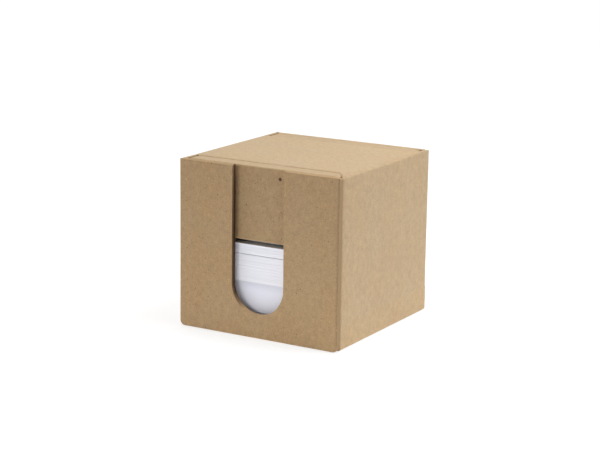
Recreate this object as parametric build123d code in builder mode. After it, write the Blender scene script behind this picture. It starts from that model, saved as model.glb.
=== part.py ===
from build123d import *
import os

os.makedirs("parts", exist_ok=True)

# ---------------------------------------------------------------------------
# Memo cube of kraft board: an open memo tray with a finger notch, and a pen
# box that is the lid of the tray.  The pen box hangs on a two-crease paper
# hinge along the top right edge and swings over by 270 degrees, until it
# stands beside the tray.  Modelled closed.
# Millimetres.  X to the right, Y to the back, Z up.
# Origin: centre of the outline, on the surface that the cube stands on.
# ---------------------------------------------------------------------------

# outline
WIDTH = 85.2            # X
DEPTH = 87.6            # Y
HEIGHT = 80.0           # Z
HX = WIDTH / 2
HY = DEPTH / 2

# sheet thicknesses
PLY = 1.4               # one ply of the doubled front and back walls
WALL = 2 * PLY          # front and back wall
BOARD = 1.2             # side walls, base and pen box
SKIN = 0.3              # outer wrap and hinge
SIDE = BOARD + SKIN     # side wall and base together
FOLD_R = 1.2            # outside radius of the lower folds
WALL_R = 2.4            # lower corners of the front wall

# tray
BACK_DROP = 0.3         # the back wall ends this much lower than the front
LEFT_DROP = 0.35        # the left wall ends under the edge of the hinge flap
NOTCH_R = 13.9          # half width of the finger notch and its round end
NOTCH_BOTTOM = 10.9     # lowest point of the notch above the table
TAB_LEN = 10.0          # corner tabs

# two-crease hinge
CREASE_DOWN = 1.3       # first crease, below the top edge of the right wall
CREASE_IN = 5.85        # second crease, in from the right face
FLAP_LEFT = 0.3         # left end of the hinge flap, from the left face
FLAP_INSET = 12.2       # long edges of the hinge flap, from front and back
TAPER_X = 78.4          # where the taper leaves the long edge of the flap
TAPER_DX = 6.0          # the taper runs this far along X ...
TAPER_DY = 8.9          # ... while it goes this far outwards

# pen box
PEN_GAP = 4.25          # outer front panel, from the front face
PEN_GAP_BACK = 3.05     # outer back panel, from the back face
PEN_TOP = HEIGHT - SKIN
PEN_BOTTOM = 44.65      # underside of the pen box when closed
PEN_LEFT = 2.4          # upper end of the sloped end
PEN_SLOPE = 13.8        # the sloped end comes in this far at the underside
PEN_RIGHT = 81.8        # open end of the panels
PEN_FOLD = 1.05         # outside radius of the long folds in front
PEN_FOLD_BACK = 0.2     # and at the back
PEN_RELIEF = 0.3        # the open end's top edge is this much lower than the panel

# index flags
FLAG_W = 12.0
FLAG_L = 50.0
FLAG_T = 1.5
FLAG_PITCH = 15.0
FLAG_FIRST = 9.75       # front edge of the first pad, from the front face
FLAG_END = 74.3         # right end of the pads, from the left face

# memo sheets
SHEET = 78.0
STACK_TOP = 42.75
SPLIT_TOP = 36.9        # open gap below the top bundle
SPLIT_LOW = 25.0        # step between the upper and the lower bundle
SHEET_GAP = 0.2

# positions measured from the left face, the front face and the table
LEFT = -HX
FRONT = -HY
INNER_Y = HY - WALL     # inner faces of the front and back walls


def x_at(v):
    return LEFT + v


def y_at(v):
    return FRONT + v


# ---------------------------------------------------------------------------
# Tray: front wall, two plies with the finger notch
# ---------------------------------------------------------------------------
NOTCH_Z = NOTCH_BOTTOM + NOTCH_R

with BuildPart() as front_wall_outer:
    with BuildSketch(Plane.XZ.offset(HY)) as fw_profile:
        with BuildLine():
            Polyline((-HX, WALL_R), (-HX, HEIGHT), (-NOTCH_R, HEIGHT), (-NOTCH_R, NOTCH_Z))
            RadiusArc((-NOTCH_R, NOTCH_Z), (NOTCH_R, NOTCH_Z), -NOTCH_R)
            Polyline((NOTCH_R, NOTCH_Z), (NOTCH_R, HEIGHT), (HX, HEIGHT), (HX, WALL_R))
            RadiusArc((HX, WALL_R), (HX - WALL_R, 0), WALL_R)
            Line((HX - WALL_R, 0), (-HX + WALL_R, 0))
            RadiusArc((-HX + WALL_R, 0), (-HX, WALL_R), WALL_R)
        make_face()
    extrude(amount=-PLY)
front_wall_outer.part.label = "front_wall_outer"
export_step(front_wall_outer.part, "parts/front_wall_outer.step")

with BuildPart() as front_wall_inner:
    with BuildSketch(Plane.XZ.offset(HY - PLY)):
        with BuildLine():
            Polyline((-HX, WALL_R), (-HX, HEIGHT), (-NOTCH_R, HEIGHT), (-NOTCH_R, NOTCH_Z))
            RadiusArc((-NOTCH_R, NOTCH_Z), (NOTCH_R, NOTCH_Z), -NOTCH_R)
            Polyline((NOTCH_R, NOTCH_Z), (NOTCH_R, HEIGHT), (HX, HEIGHT), (HX, WALL_R))
            RadiusArc((HX, WALL_R), (HX - WALL_R, 0), WALL_R)
            Line((HX - WALL_R, 0), (-HX + WALL_R, 0))
            RadiusArc((-HX + WALL_R, 0), (-HX, WALL_R), WALL_R)
        make_face()
    extrude(amount=-PLY)
front_wall_inner.part.label = "front_wall_inner"
export_step(front_wall_inner.part, "parts/front_wall_inner.step")

# ---------------------------------------------------------------------------
# Tray: back wall, two plies, plain, set between the sides of the wrap
# ---------------------------------------------------------------------------
BACK_TOP = HEIGHT - BACK_DROP
CORNER_X = 82.8         # its top corner is cut away under the hinge sheet
CORNER_DROP = 0.35

with BuildPart() as back_wall_inner:
    with BuildSketch(Plane.XZ.offset(-INNER_Y)):
        with BuildLine():
            Polyline(
                (x_at(SKIN), SKIN), (x_at(SKIN), BACK_TOP), (x_at(CORNER_X), BACK_TOP),
                (x_at(CORNER_X + 0.3), BACK_TOP - CORNER_DROP),
                (HX - SKIN, HEIGHT - CREASE_DOWN - 0.1), (HX - SKIN, SKIN), (x_at(SKIN), SKIN),
            )
        make_face()
    extrude(amount=-PLY)
    fillet(back_wall_inner.edges().filter_by(Axis.Y).group_by(Axis.Z)[0], radius=FOLD_R - SKIN)
back_wall_inner.part.label = "back_wall_inner"
export_step(back_wall_inner.part, "parts/back_wall_inner.step")

with BuildPart() as back_wall_outer:
    with BuildSketch(Plane.XZ.offset(-INNER_Y - PLY)):
        with BuildLine():
            Polyline(
                (x_at(SKIN), SKIN), (x_at(SKIN), BACK_TOP), (x_at(CORNER_X), BACK_TOP),
                (x_at(CORNER_X + 0.3), BACK_TOP - CORNER_DROP),
                (HX - SKIN, HEIGHT - CREASE_DOWN - 0.1), (HX - SKIN, SKIN), (x_at(SKIN), SKIN),
            )
        make_face()
    extrude(amount=-PLY)
    fillet(back_wall_outer.edges().filter_by(Axis.Y).group_by(Axis.Z)[0], radius=FOLD_R - SKIN)
back_wall_outer.part.label = "back_wall_outer"
export_step(back_wall_outer.part, "parts/back_wall_outer.step")

# ---------------------------------------------------------------------------
# Tray: board of the base and the two side walls, between front and back wall
# ---------------------------------------------------------------------------
LEFT_TOP = HEIGHT - LEFT_DROP
RIGHT_TOP = HEIGHT - CREASE_DOWN - 0.9      # board stops short of the hinge
BOARD_R = FOLD_R - SKIN                     # outside radius of the board fold

with BuildPart() as base_board:
    with BuildSketch(Plane.XY.offset(SKIN)):
        Rectangle(WIDTH - 2 * SIDE, 2 * INNER_Y)
    extrude(amount=BOARD)
base_board.part.label = "base_board"
export_step(base_board.part, "parts/base_board.step")

with BuildPart() as left_board:
    with BuildSketch(Plane.XZ.offset(INNER_Y)):
        with BuildLine():
            Line((x_at(SKIN), LEFT_TOP), (x_at(SKIN), FOLD_R))
            RadiusArc((x_at(SKIN), FOLD_R), (x_at(FOLD_R), SKIN), -BOARD_R)
            Polyline(
                (x_at(FOLD_R), SKIN), (x_at(SIDE), SKIN), (x_at(SIDE), LEFT_TOP),
                (x_at(SKIN), LEFT_TOP),
            )
        make_face()
    extrude(amount=-2 * INNER_Y)
left_board.part.label = "left_board"
export_step(left_board.part, "parts/left_board.step")

with BuildPart() as right_board:
    with BuildSketch(Plane.XZ.offset(INNER_Y)):
        with BuildLine():
            Line((HX - SKIN, RIGHT_TOP), (HX - SKIN, FOLD_R))
            RadiusArc((HX - SKIN, FOLD_R), (HX - FOLD_R, SKIN), BOARD_R)
            Polyline(
                (HX - FOLD_R, SKIN), (HX - SIDE, SKIN), (HX - SIDE, RIGHT_TOP),
                (HX - SKIN, RIGHT_TOP),
            )
        make_face()
    extrude(amount=-2 * INNER_Y)
right_board.part.label = "right_board"
export_step(right_board.part, "parts/right_board.step")

# corner tabs: folded in from the side walls and glued to the inner faces of
# the front and back walls; both ends are cut at a slant, as a glue tab is
TAB_LOW = 4.0
TAB_TOP_L = LEFT_TOP - 1.0
TAB_TOP_R = RIGHT_TOP - 1.0
TAB_TOP_BACK = PEN_BOTTOM - FLAG_T - 1.0    # at the back the pen box fills the corner above
TAB_TAPER = 4.0

with BuildPart() as front_left_tab:
    with BuildSketch(Plane.XZ.offset(INNER_Y)):
        with BuildLine():
            Polyline(
                (x_at(SIDE), TAB_LOW), (x_at(SIDE), TAB_TOP_L),
                (x_at(SIDE + TAB_LEN), TAB_TOP_L - TAB_TAPER),
                (x_at(SIDE + TAB_LEN), TAB_LOW + TAB_TAPER), (x_at(SIDE), TAB_LOW),
            )
        make_face()
    extrude(amount=-BOARD)
front_left_tab.part.label = "front_left_tab"
export_step(front_left_tab.part, "parts/front_left_tab.step")

with BuildPart() as front_right_tab:
    with BuildSketch(Plane.XZ.offset(INNER_Y)):
        with BuildLine():
            Polyline(
                (HX - SIDE, TAB_LOW), (HX - SIDE, TAB_TOP_R),
                (HX - SIDE - TAB_LEN, TAB_TOP_R - TAB_TAPER),
                (HX - SIDE - TAB_LEN, TAB_LOW + TAB_TAPER), (HX - SIDE, TAB_LOW),
            )
        make_face()
    extrude(amount=-BOARD)
front_right_tab.part.label = "front_right_tab"
export_step(front_right_tab.part, "parts/front_right_tab.step")

with BuildPart() as back_left_tab:
    with BuildSketch(Plane.XZ.offset(-INNER_Y + BOARD)):
        with BuildLine():
            Polyline(
                (x_at(SIDE), TAB_LOW), (x_at(SIDE), TAB_TOP_BACK),
                (x_at(SIDE + TAB_LEN), TAB_TOP_BACK - TAB_TAPER),
                (x_at(SIDE + TAB_LEN), TAB_LOW + TAB_TAPER), (x_at(SIDE), TAB_LOW),
            )
        make_face()
    extrude(amount=-BOARD)
back_left_tab.part.label = "back_left_tab"
export_step(back_left_tab.part, "parts/back_left_tab.step")

with BuildPart() as back_right_tab:
    with BuildSketch(Plane.XZ.offset(-INNER_Y + BOARD)):
        with BuildLine():
            Polyline(
                (HX - SIDE, TAB_LOW), (HX - SIDE, TAB_TOP_BACK),
                (HX - SIDE - TAB_LEN, TAB_TOP_BACK - TAB_TAPER),
                (HX - SIDE - TAB_LEN, TAB_LOW + TAB_TAPER), (HX - SIDE, TAB_LOW),
            )
        make_face()
    extrude(amount=-BOARD)
back_right_tab.part.label = "back_right_tab"
export_step(back_right_tab.part, "parts/back_right_tab.step")

# ---------------------------------------------------------------------------
# Outer wrap: one kraft sheet round the left side, the base and the right
# side, from the front wall to the back face, cut here at its creases
# ---------------------------------------------------------------------------
with BuildPart() as wrap_left:
    with BuildSketch(Plane.XY.offset(FOLD_R)):
        with Locations((x_at(SKIN / 2), WALL / 2)):
            Rectangle(SKIN, DEPTH - WALL)
    extrude(amount=LEFT_TOP - FOLD_R)
wrap_left.part.label = "wrap_left"
export_step(wrap_left.part, "parts/wrap_left.step")

with BuildPart() as wrap_base:
    with BuildSketch(Plane.XZ.offset(INNER_Y)):
        with BuildLine():
            RadiusArc((-HX, FOLD_R), (-HX + FOLD_R, 0), -FOLD_R)
            Line((-HX + FOLD_R, 0), (HX - FOLD_R, 0))
            RadiusArc((HX - FOLD_R, 0), (HX, FOLD_R), -FOLD_R)
            Line((HX, FOLD_R), (HX - SKIN, FOLD_R))
            RadiusArc((HX - SKIN, FOLD_R), (HX - FOLD_R, SKIN), FOLD_R - SKIN)
            Line((HX - FOLD_R, SKIN), (-HX + FOLD_R, SKIN))
            RadiusArc((-HX + FOLD_R, SKIN), (-HX + SKIN, FOLD_R), FOLD_R - SKIN)
            Line((-HX + SKIN, FOLD_R), (-HX, FOLD_R))
        make_face()
    extrude(amount=-(DEPTH - WALL))
wrap_base.part.label = "wrap_base"
export_step(wrap_base.part, "parts/wrap_base.step")

with BuildPart() as wrap_right:
    with BuildSketch(Plane.XY.offset(FOLD_R)):
        with Locations((HX - SKIN / 2, WALL / 2)):
            Rectangle(SKIN, DEPTH - WALL)
    extrude(amount=HEIGHT - CREASE_DOWN - FOLD_R)
wrap_right.part.label = "wrap_right"
export_step(wrap_right.part, "parts/wrap_right.step")

# ---------------------------------------------------------------------------
# Hinge strip between the two creases: rounded in section, tapered in plan
# ---------------------------------------------------------------------------
HALF_FLAP = HY - FLAP_INSET
TAPER_SLOPE = TAPER_DY / TAPER_DX


BACK_SLOPE = (FLAP_INSET - 0.1) / TAPER_DX   # at the back the sheet reaches the back face


def half_front(v):
    # half width of the tapered sheet, towards the front, at distance v from
    # the left face
    return HALF_FLAP + TAPER_SLOPE * max(0.0, v - TAPER_X)


def half_back(v):
    return HALF_FLAP + BACK_SLOPE * max(0.0, v - TAPER_X)


CREASE_X = WIDTH - CREASE_IN
IN_FRONT = INNER_Y - 0.1                    # the sheet stops at the front wall
TAPER_END = TAPER_X + (IN_FRONT - HALF_FLAP) / TAPER_SLOPE
TAPER_END_BACK = TAPER_X + TAPER_DX

with BuildPart() as hinge_strip:
    with BuildSketch(Plane.XZ.offset(HY)):
        with BuildLine():
            EllipticalCenterArc(
                (x_at(CREASE_X), HEIGHT - CREASE_DOWN), CREASE_IN, CREASE_DOWN,
                start_angle=0, arc_size=90,
            )
            Line((x_at(CREASE_X), HEIGHT), (x_at(CREASE_X), HEIGHT - SKIN))
            EllipticalCenterArc(
                (x_at(CREASE_X), HEIGHT - CREASE_DOWN), CREASE_IN - SKIN, CREASE_DOWN - SKIN,
                start_angle=0, arc_size=90,
            )
            Line((HX, HEIGHT - CREASE_DOWN), (HX - SKIN, HEIGHT - CREASE_DOWN))
        make_face()
    extrude(amount=-DEPTH)
    with BuildSketch(Plane.XY.offset(HEIGHT - 10)):
        with BuildLine():
            Polyline(
                (x_at(CREASE_X), -half_front(CREASE_X)),
                (x_at(TAPER_END), -IN_FRONT),
                (HX + 1, -IN_FRONT),
                (HX + 1, half_back(TAPER_END_BACK)),
                (x_at(TAPER_END_BACK), half_back(TAPER_END_BACK)),
                (x_at(CREASE_X), half_back(CREASE_X)),
                (x_at(CREASE_X), -half_front(CREASE_X)),
            )
        make_face()
    extrude(amount=20, mode=Mode.INTERSECT)
hinge_strip.part.label = "hinge_strip"
export_step(hinge_strip.part, "parts/hinge_strip.step")

# ---------------------------------------------------------------------------
# Pen box
# ---------------------------------------------------------------------------
# hinge flap: end of the hinge sheet, glued on the top panel
with BuildPart() as hinge_flap:
    with BuildSketch(Plane.XY.offset(HEIGHT - SKIN)):
        with BuildLine():
            Polyline(
                (x_at(FLAP_LEFT), -HALF_FLAP), (x_at(TAPER_X), -HALF_FLAP),
                (x_at(CREASE_X), -half_front(CREASE_X)),
                (x_at(CREASE_X), half_back(CREASE_X)),
                (x_at(TAPER_X), HALF_FLAP), (x_at(FLAP_LEFT), HALF_FLAP),
                (x_at(FLAP_LEFT), -HALF_FLAP),
            )
        make_face()
    extrude(amount=SKIN)
hinge_flap.part.label = "hinge_flap"
export_step(hinge_flap.part, "parts/hinge_flap.step")

PEN_FRONT = y_at(PEN_GAP)                   # outer faces of the side panels
PEN_BACK = HY - PEN_GAP_BACK
PEN_IN = (PEN_BACK - PEN_FRONT) / 2 - BOARD  # half width between their inner faces
PEN_MID = (PEN_BACK + PEN_FRONT) / 2
IN_FRONT_FACE = PEN_FRONT + BOARD
IN_BACK_FACE = PEN_BACK - BOARD
SLOPE_PER_Z = PEN_SLOPE / (PEN_TOP - PEN_BOTTOM)


def slope_x(z):
    # X of the outer face of the sloped end at height z
    return x_at(PEN_LEFT + (PEN_TOP - z) * SLOPE_PER_Z)


# thickness of the sloped panel measured along X
END_T = BOARD * (1 + SLOPE_PER_Z**2) ** 0.5

with BuildPart() as pen_top_panel:
    with BuildSketch(Plane.XZ.offset(-IN_FRONT_FACE)):
        with BuildLine():
            Polyline(
                (slope_x(PEN_TOP - BOARD), PEN_TOP - BOARD),
                (slope_x(PEN_TOP - BOARD), PEN_TOP), (x_at(CREASE_X), PEN_TOP),
                (x_at(PEN_RIGHT), PEN_TOP - PEN_RELIEF),
                (x_at(PEN_RIGHT), PEN_TOP - BOARD),
                (slope_x(PEN_TOP - BOARD), PEN_TOP - BOARD),
            )
        make_face()
    extrude(amount=-2 * PEN_IN)
pen_top_panel.part.label = "pen_top_panel"
export_step(pen_top_panel.part, "parts/pen_top_panel.step")

with BuildPart() as flag_panel:
    with BuildSketch(Plane.XY.offset(PEN_BOTTOM)):
        with Locations(((slope_x(PEN_BOTTOM) + x_at(PEN_RIGHT)) / 2, PEN_MID)):
            Rectangle(x_at(PEN_RIGHT) - slope_x(PEN_BOTTOM), 2 * PEN_IN)
    extrude(amount=BOARD)
flag_panel.part.label = "flag_panel"
export_step(flag_panel.part, "parts/flag_panel.step")

# side panels: one end sloped, the other cut straight
with BuildPart() as pen_front_panel:
    with BuildSketch(Plane.XZ.offset(-PEN_FRONT)):
        with BuildLine():
            Polyline(
                (slope_x(PEN_TOP), PEN_TOP), (x_at(CREASE_X), PEN_TOP),
                (x_at(PEN_RIGHT), PEN_TOP - PEN_RELIEF), (x_at(PEN_RIGHT), PEN_BOTTOM),
                (slope_x(PEN_BOTTOM), PEN_BOTTOM), (slope_x(PEN_TOP), PEN_TOP),
            )
        make_face()
    extrude(amount=-BOARD)
    fillet(
        pen_front_panel.edges().filter_by(Axis.X).group_by(Axis.Y)[0],
        radius=PEN_FOLD,
    )
pen_front_panel.part.label = "pen_front_panel"
export_step(pen_front_panel.part, "parts/pen_front_panel.step")

with BuildPart() as pen_back_panel:
    with BuildSketch(Plane.XZ.offset(-IN_BACK_FACE)):
        with BuildLine():
            Polyline(
                (slope_x(PEN_TOP), PEN_TOP), (x_at(CREASE_X), PEN_TOP),
                (x_at(PEN_RIGHT), PEN_TOP - PEN_RELIEF), (x_at(PEN_RIGHT), PEN_BOTTOM),
                (slope_x(PEN_BOTTOM), PEN_BOTTOM), (slope_x(PEN_TOP), PEN_TOP),
            )
        make_face()
    extrude(amount=-BOARD)
    fillet(
        pen_back_panel.edges().filter_by(Axis.X).group_by(Axis.Y)[-1],
        radius=PEN_FOLD_BACK,
    )
pen_back_panel.part.label = "pen_back_panel"
export_step(pen_back_panel.part, "parts/pen_back_panel.step")

# sloped end: the floor of the pen box when it stands open
END_LOW = PEN_BOTTOM + BOARD
END_HIGH = PEN_TOP - BOARD

with BuildPart() as pen_end_panel:
    with BuildSketch(Plane.XZ.offset(-IN_FRONT_FACE)):
        with BuildLine():
            Polyline(
                (slope_x(END_HIGH), END_HIGH), (slope_x(END_HIGH) + END_T, END_HIGH),
                (slope_x(END_LOW) + END_T, END_LOW), (slope_x(END_LOW), END_LOW),
                (slope_x(END_HIGH), END_HIGH),
            )
        make_face()
    extrude(amount=-2 * PEN_IN)
pen_end_panel.part.label = "pen_end_panel"
export_step(pen_end_panel.part, "parts/pen_end_panel.step")

# glue tabs of the sloped end, folded in against the other panels
END_TAB = 9.0

with BuildPart() as end_tab_top:
    with BuildSketch(Plane.XZ.offset(-IN_FRONT_FACE - 5.0)):
        with BuildLine():
            Polyline(
                (slope_x(END_HIGH) + END_T, END_HIGH),
                (slope_x(END_HIGH) + END_T + END_TAB, END_HIGH),
                (slope_x(END_HIGH) + END_T + END_TAB, END_HIGH - BOARD),
                (slope_x(END_HIGH - BOARD) + END_T, END_HIGH - BOARD),
                (slope_x(END_HIGH) + END_T, END_HIGH),
            )
        make_face()
    extrude(amount=-2 * (PEN_IN - 5.0))
end_tab_top.part.label = "end_tab_top"
export_step(end_tab_top.part, "parts/end_tab_top.step")

TAB_Z0 = END_LOW + 2.5
TAB_Z1 = END_HIGH - 4.5

with BuildPart() as end_tab_front:
    with BuildSketch(Plane.XZ.offset(-IN_FRONT_FACE)):
        with BuildLine():
            Polyline(
                (slope_x(TAB_Z1) + END_T, TAB_Z1),
                (slope_x(TAB_Z1) + END_T + END_TAB, TAB_Z1 - 2.0),
                (slope_x(TAB_Z0) + END_T + END_TAB, TAB_Z0 + 2.0),
                (slope_x(TAB_Z0) + END_T, TAB_Z0),
                (slope_x(TAB_Z1) + END_T, TAB_Z1),
            )
        make_face()
    extrude(amount=-BOARD)
end_tab_front.part.label = "end_tab_front"
export_step(end_tab_front.part, "parts/end_tab_front.step")

with BuildPart() as end_tab_back:
    with BuildSketch(Plane.XZ.offset(-IN_BACK_FACE + BOARD)):
        with BuildLine():
            Polyline(
                (slope_x(TAB_Z1) + END_T, TAB_Z1),
                (slope_x(TAB_Z1) + END_T + END_TAB, TAB_Z1 - 2.0),
                (slope_x(TAB_Z0) + END_T + END_TAB, TAB_Z0 + 2.0),
                (slope_x(TAB_Z0) + END_T, TAB_Z0),
                (slope_x(TAB_Z1) + END_T, TAB_Z1),
            )
        make_face()
    extrude(amount=-BOARD)
end_tab_back.part.label = "end_tab_back"
export_step(end_tab_back.part, "parts/end_tab_back.step")

# ---------------------------------------------------------------------------
# Index flags: five pads side by side on the outer face of the flag panel
# ---------------------------------------------------------------------------
FLAG_X = x_at(FLAG_END - FLAG_L / 2)

with BuildPart() as flag_pad_blue:
    with BuildSketch(Plane.XY.offset(PEN_BOTTOM - FLAG_T)):
        with Locations((FLAG_X, y_at(FLAG_FIRST + FLAG_W / 2))):
            Rectangle(FLAG_L, FLAG_W)
    extrude(amount=FLAG_T)
flag_pad_blue.part.label = "flag_pad_blue"
export_step(flag_pad_blue.part, "parts/flag_pad_blue.step")

with BuildPart() as flag_pad_green:
    with BuildSketch(Plane.XY.offset(PEN_BOTTOM - FLAG_T)):
        with Locations((FLAG_X, y_at(FLAG_FIRST + FLAG_PITCH + FLAG_W / 2))):
            Rectangle(FLAG_L, FLAG_W)
    extrude(amount=FLAG_T)
flag_pad_green.part.label = "flag_pad_green"
export_step(flag_pad_green.part, "parts/flag_pad_green.step")

with BuildPart() as flag_pad_yellow:
    with BuildSketch(Plane.XY.offset(PEN_BOTTOM - FLAG_T)):
        with Locations((FLAG_X, y_at(FLAG_FIRST + 2 * FLAG_PITCH + FLAG_W / 2))):
            Rectangle(FLAG_L, FLAG_W)
    extrude(amount=FLAG_T)
flag_pad_yellow.part.label = "flag_pad_yellow"
export_step(flag_pad_yellow.part, "parts/flag_pad_yellow.step")

with BuildPart() as flag_pad_pink:
    with BuildSketch(Plane.XY.offset(PEN_BOTTOM - FLAG_T)):
        with Locations((FLAG_X, y_at(FLAG_FIRST + 3 * FLAG_PITCH + FLAG_W / 2))):
            Rectangle(FLAG_L, FLAG_W)
    extrude(amount=FLAG_T)
flag_pad_pink.part.label = "flag_pad_pink"
export_step(flag_pad_pink.part, "parts/flag_pad_pink.step")

with BuildPart() as flag_pad_cream:
    with BuildSketch(Plane.XY.offset(PEN_BOTTOM - FLAG_T)):
        with Locations((FLAG_X, y_at(FLAG_FIRST + 4 * FLAG_PITCH + FLAG_W / 2))):
            Rectangle(FLAG_L, FLAG_W)
    extrude(amount=FLAG_T)
flag_pad_cream.part.label = "flag_pad_cream"
export_step(flag_pad_cream.part, "parts/flag_pad_cream.step")

# ---------------------------------------------------------------------------
# Memo sheets: loose square sheets in three bundles; the lower bundle lies a
# little further back than the two above it
# ---------------------------------------------------------------------------
SHEET_X_UP = x_at(3.6 + SHEET / 2)
SHEET_Y_UP = y_at(4.45 + SHEET / 2)
SHEET_X_LOW = x_at(4.0 + SHEET / 2)
SHEET_Y_LOW = y_at(5.4 + SHEET / 2)

with BuildPart() as memo_sheets_top:
    with BuildSketch(Plane.XY.offset(SPLIT_TOP + SHEET_GAP)):
        with Locations((SHEET_X_UP, SHEET_Y_UP)):
            Rectangle(SHEET, SHEET)
    extrude(amount=STACK_TOP - SPLIT_TOP - SHEET_GAP)
memo_sheets_top.part.label = "memo_sheets_top"
export_step(memo_sheets_top.part, "parts/memo_sheets_top.step")

with BuildPart() as memo_sheets_upper:
    with BuildSketch(Plane.XY.offset(SPLIT_LOW)):
        with Locations((SHEET_X_UP, SHEET_Y_UP)):
            Rectangle(SHEET, SHEET)
    extrude(amount=SPLIT_TOP + SHEET_GAP - SPLIT_LOW)
memo_sheets_upper.part.label = "memo_sheets_upper"
export_step(memo_sheets_upper.part, "parts/memo_sheets_upper.step")

with BuildPart() as memo_sheets_lower:
    with BuildSketch(Plane.XY.offset(SIDE)):
        with Locations((SHEET_X_LOW, SHEET_Y_LOW)):
            Rectangle(SHEET, SHEET)
    extrude(amount=SPLIT_LOW - SIDE)
memo_sheets_lower.part.label = "memo_sheets_lower"
export_step(memo_sheets_lower.part, "parts/memo_sheets_lower.step")
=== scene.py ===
import math
import random

import bmesh
import bpy
import numpy as np
from mathutils import Matrix, Vector, noise


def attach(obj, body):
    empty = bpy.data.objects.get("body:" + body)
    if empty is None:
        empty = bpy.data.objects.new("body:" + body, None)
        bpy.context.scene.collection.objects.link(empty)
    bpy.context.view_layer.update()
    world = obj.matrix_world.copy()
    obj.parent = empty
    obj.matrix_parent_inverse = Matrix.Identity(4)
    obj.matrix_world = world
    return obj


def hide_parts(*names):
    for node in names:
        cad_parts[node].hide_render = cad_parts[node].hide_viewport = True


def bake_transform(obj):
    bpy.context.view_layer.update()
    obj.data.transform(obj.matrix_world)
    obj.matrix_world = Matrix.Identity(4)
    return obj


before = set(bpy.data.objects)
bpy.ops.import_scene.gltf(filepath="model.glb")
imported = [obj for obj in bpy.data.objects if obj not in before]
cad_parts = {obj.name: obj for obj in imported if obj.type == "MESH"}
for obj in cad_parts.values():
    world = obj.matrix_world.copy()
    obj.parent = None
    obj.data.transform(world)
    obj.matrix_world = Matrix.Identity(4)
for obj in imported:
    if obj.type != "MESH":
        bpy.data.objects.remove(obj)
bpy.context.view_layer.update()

scene = bpy.context.scene

# Lengths below are in millimetres, measured from the left face, the front
# face and the table, and are turned into the shared frame when a mesh is made.
W, D, H = 85.2, 87.6, 80.0

# ---------------------------------------------------------------------------
# Camera
# ---------------------------------------------------------------------------
cam_data = bpy.data.cameras.new("camera")
cam = bpy.data.objects.new("camera", cam_data)
scene.collection.objects.link(cam)
cam_data.sensor_width = 36.0
cam_data.lens = 106.376
cam_data.clip_start, cam_data.clip_end = 0.05, 50.0


def camera_matrix():
    az, el, roll = (math.radians(v) for v in (-30.464, 12.930, 0.796))
    rz = Matrix(((math.cos(az), -math.sin(az), 0), (math.sin(az), math.cos(az), 0), (0, 0, 1)))
    rx = Matrix(((1, 0, 0), (0, math.cos(el), -math.sin(el)), (0, math.sin(el), math.cos(el))))
    rr = Matrix(((math.cos(roll), 0, math.sin(roll)), (0, 1, 0), (-math.sin(roll), 0, math.cos(roll))))
    r = rr @ rx @ rz
    right, ahead, up = r[0], r[1], r[2]
    m = Matrix((
        (right[0], up[0], -ahead[0]),
        (right[1], up[1], -ahead[1]),
        (right[2], up[2], -ahead[2]),
    )).to_4x4()
    m.translation = Vector((457.50 - W / 2, -667.28 - D / 2, 234.33)) / 1000
    return m


cam.matrix_world = camera_matrix()
scene.camera = cam

# ---------------------------------------------------------------------------
# Light: white sweep, large soft light overhead, softer one from the right
# ---------------------------------------------------------------------------
scene.view_settings.view_transform = "Standard"
scene.view_settings.look = "None"

world = bpy.data.worlds.new("studio")
scene.world = world
world.use_nodes = True
wt = world.node_tree
wt.nodes.clear()


def world_node(kind, **props):
    n = wt.nodes.new(kind)
    for k, v in props.items():
        setattr(n, k, v)
    return n


w_out = world_node("ShaderNodeOutputWorld")
w_mix = world_node("ShaderNodeMixShader")
w_seen = world_node("ShaderNodeBackground")
w_lit = world_node("ShaderNodeBackground")
w_path = world_node("ShaderNodeLightPath")
w_coord = world_node("ShaderNodeTexCoord")
w_split = world_node("ShaderNodeSeparateXYZ")
w_range = world_node("ShaderNodeMapRange", interpolation_type="SMOOTHSTEP")
w_seen.inputs["Color"].default_value = (1, 1, 1, 1)
w_seen.inputs["Strength"].default_value = 1.02
w_lit.inputs["Color"].default_value = (1.0, 1.0, 1.0, 1)
w_range.inputs["From Min"].default_value = -0.95
w_range.inputs["From Max"].default_value = 0.65
w_range.inputs["To Min"].default_value = 0.10
w_range.inputs["To Max"].default_value = 1.14
w_lean = world_node("ShaderNodeMath", operation="MULTIPLY_ADD")
w_lean.inputs[1].default_value = -0.45
wt.links.new(w_coord.outputs["Generated"], w_split.inputs[0])
wt.links.new(w_split.outputs["X"], w_lean.inputs[0])
wt.links.new(w_split.outputs["Y"], w_lean.inputs[2])
w_high = world_node("ShaderNodeMath", operation="MULTIPLY_ADD")
w_high.inputs[1].default_value = 0.30
wt.links.new(w_split.outputs["Z"], w_high.inputs[0])
wt.links.new(w_lean.outputs[0], w_high.inputs[2])
wt.links.new(w_high.outputs[0], w_range.inputs["Value"])
wt.links.new(w_range.outputs["Result"], w_lit.inputs["Strength"])
wt.links.new(w_path.outputs["Is Camera Ray"], w_mix.inputs[0])
wt.links.new(w_lit.outputs[0], w_mix.inputs[1])
wt.links.new(w_seen.outputs[0], w_mix.inputs[2])
wt.links.new(w_mix.outputs[0], w_out.inputs[0])


def area_light(name, place, aim, size, power, colour=(1, 1, 1)):
    data = bpy.data.lights.new(name, "AREA")
    data.shape = "RECTANGLE"
    data.size, data.size_y = size
    data.energy = power
    data.color = colour
    o = bpy.data.objects.new(name, data)
    scene.collection.objects.link(o)
    o.location = place
    o.rotation_mode = "QUATERNION"
    o.rotation_quaternion = (Vector(aim) - Vector(place)).to_track_quat("-Z", "Y")
    return o


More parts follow.
